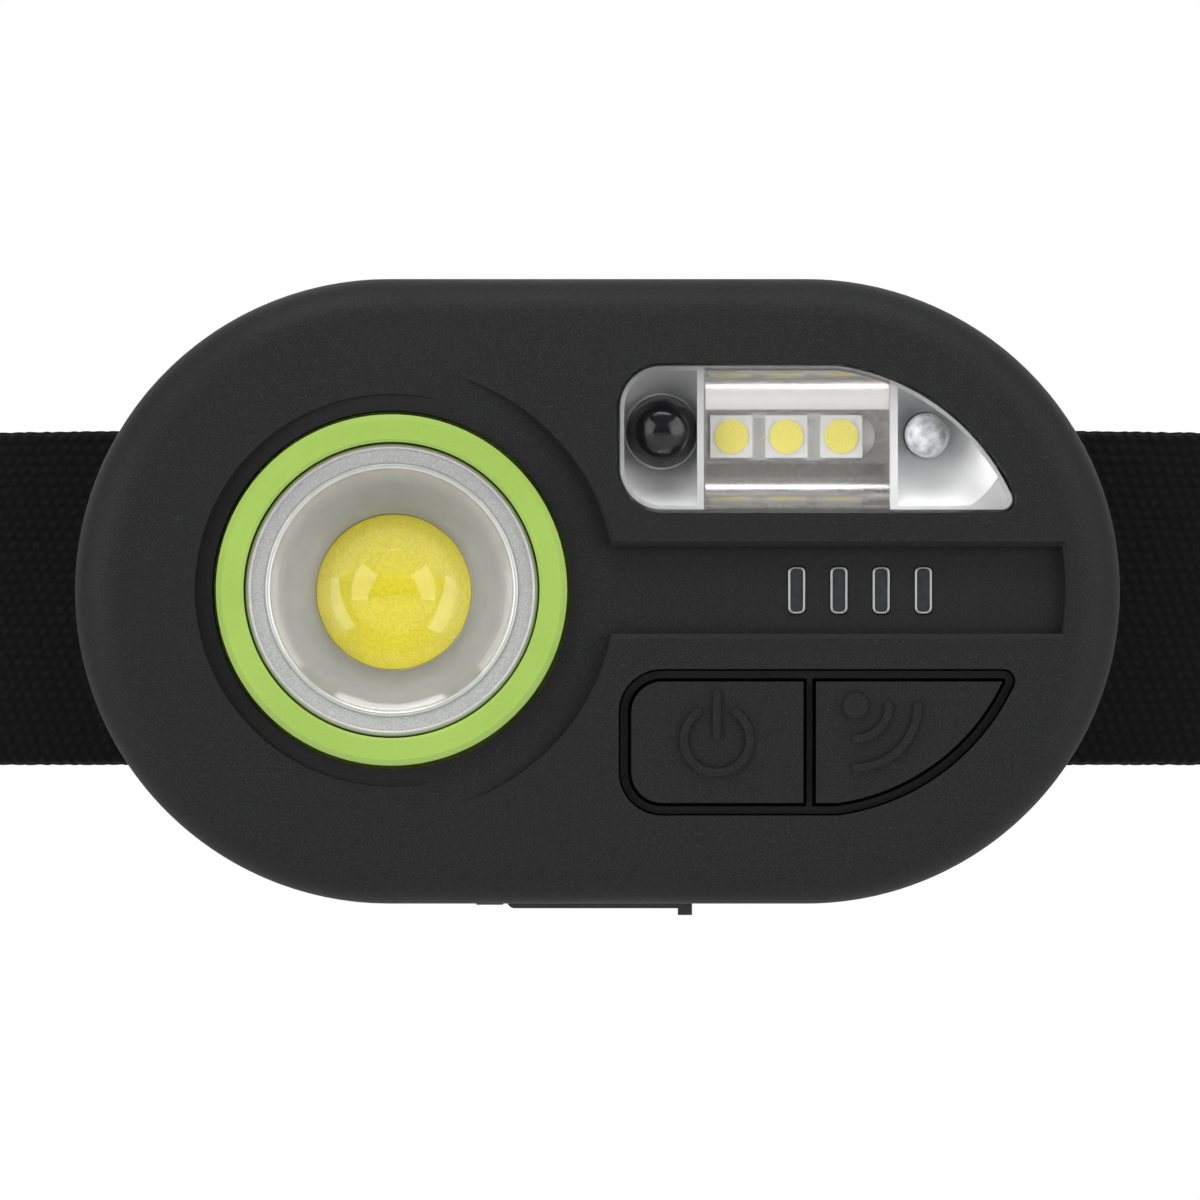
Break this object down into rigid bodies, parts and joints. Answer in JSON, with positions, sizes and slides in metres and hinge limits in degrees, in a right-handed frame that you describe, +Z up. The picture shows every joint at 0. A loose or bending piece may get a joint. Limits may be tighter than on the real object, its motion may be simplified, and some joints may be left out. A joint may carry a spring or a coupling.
{
  "type": "headlamp",
  "caption": "Headlamp with a round spot light, a flood window, press buttons and a charging port, tilting on a bracket worn on an elastic headband.",
  "frame": {"origin": "centre of the skin-side face of the forehead pad", "axes": "-Y is forward, the way the lamp shines; +Y goes into the wearer's head; +X is to the right of someone looking at the lamp; +Z is up"},
  "size_m": [0.1656, 0.2135, 0.0455],
  "materials": {
    "soft_touch_shell": "soft-touch speckled moulding, near black",
    "moulded_shell": "fine moulded texture",
    "silicone_seal": "matt silicone",
    "screw_steel": "blackened steel",
    "green_anodised": "satin lime green",
    "satin_aluminium": "satin, turned",
    "raw_aluminium": "plain turned or stamped",
    "clear_lens": "polished, clear",
    "clear_window": "polished clear polycarbonate",
    "phosphor": "yellow phosphor gel",
    "white_board": "white solder mask",
    "green_board": "green solder mask",
    "flood_reflector": "metallised moulding",
    "led_white": "white LED package",
    "ir_black": "smoked black dome",
    "component_black": "black component body",
    "soft_touch_button": "soft-touch, fine grain",
    "battery_foil": "laminated pouch foil",
    "foam_tape": "double-sided foam",
    "lead_red": "silicone insulation",
    "port_rubber": "matt elastomer",
    "pad_foam": "brushed knit over foam",
    "elastic_webbing": "woven elastic webbing",
    "adjuster_nylon": "moulded nylon, fine grain"
  },
  "bodies": {
    "headband": {"bracket": "moulded_shell", "hinge_pin": "screw_steel", "forehead_pad": "pad_foam", "head_strap": "elastic_webbing", "strap_tail": "elastic_webbing"},
    "lamp": {"front_shell": "soft_touch_shell", "rear_shell": "moulded_shell", "shell_gasket": "silicone_seal", "shell_screws": "screw_steel", "bezel_ring": "green_anodised", "spot_reflector": "satin_aluminium", "spot_dome_lens": "clear_lens", "lens_o_ring": "silicone_seal", "spot_phosphor": "phosphor", "spot_led_board": "white_board", "heat_sink": "raw_aluminium", "flood_window": "clear_window", "flood_reflector": "flood_reflector", "flood_leds": "led_white", "flood_phosphors": "phosphor", "ir_receiver": "ir_black", "ir_emitter": "clear_lens", "main_board": "white_board", "indicator_leds": "led_white", "light_pipes": "clear_window", "power_switch": "component_black", "sensor_switch": "component_black", "keypad_frame": "silicone_seal", "battery": "battery_foil", "battery_tape": "foam_tape", "battery_leads": "lead_red", "usb_receptacle": "raw_aluminium", "charge_board": "green_board", "board_connector": "component_black", "usb_cover_anchor": "port_rubber"},
    "power_button": {"power_button": "soft_touch_button", "power_switch_plunger": "component_black"},
    "sensor_button": {"sensor_button": "soft_touch_button", "sensor_switch_plunger": "component_black"},
    "charging_cover": {"usb_cover": "port_rubber"},
    "adjuster": {"strap_adjuster": "adjuster_nylon"}
  },
  "joints": [
    {"name": "lamp_tilt", "type": "hinge", "parent": "headband", "child": "lamp", "pos_m": [0, -0.0128, -0.0174], "axis": [1, 0, 0], "range_deg": [0, 60]},
    {"name": "power_press", "type": "slide", "parent": "lamp", "child": "power_button", "axis": [0, 1, 0], "range_m": [0, 0.0005], "stiffness_N_per_m": 500, "springref_m": -0.0006},
    {"name": "sensor_press", "type": "slide", "parent": "lamp", "child": "sensor_button", "axis": [0, 1, 0], "range_m": [0, 0.0005], "stiffness_N_per_m": 500, "springref_m": -0.0006},
    {"name": "charging_cover_swing", "type": "hinge", "parent": "lamp", "child": "charging_cover", "pos_m": [-0.00595, -0.0202, -0.02215], "axis": [0, 1, 0], "range_deg": [0, 100]},
    {"name": "adjuster_slide", "type": "hinge", "parent": "headband", "child": "adjuster", "pos_m": [-0.10056, 0.08907, 0], "axis": [0, 0, 1], "range_deg": [-8, 0]}
  ]
}
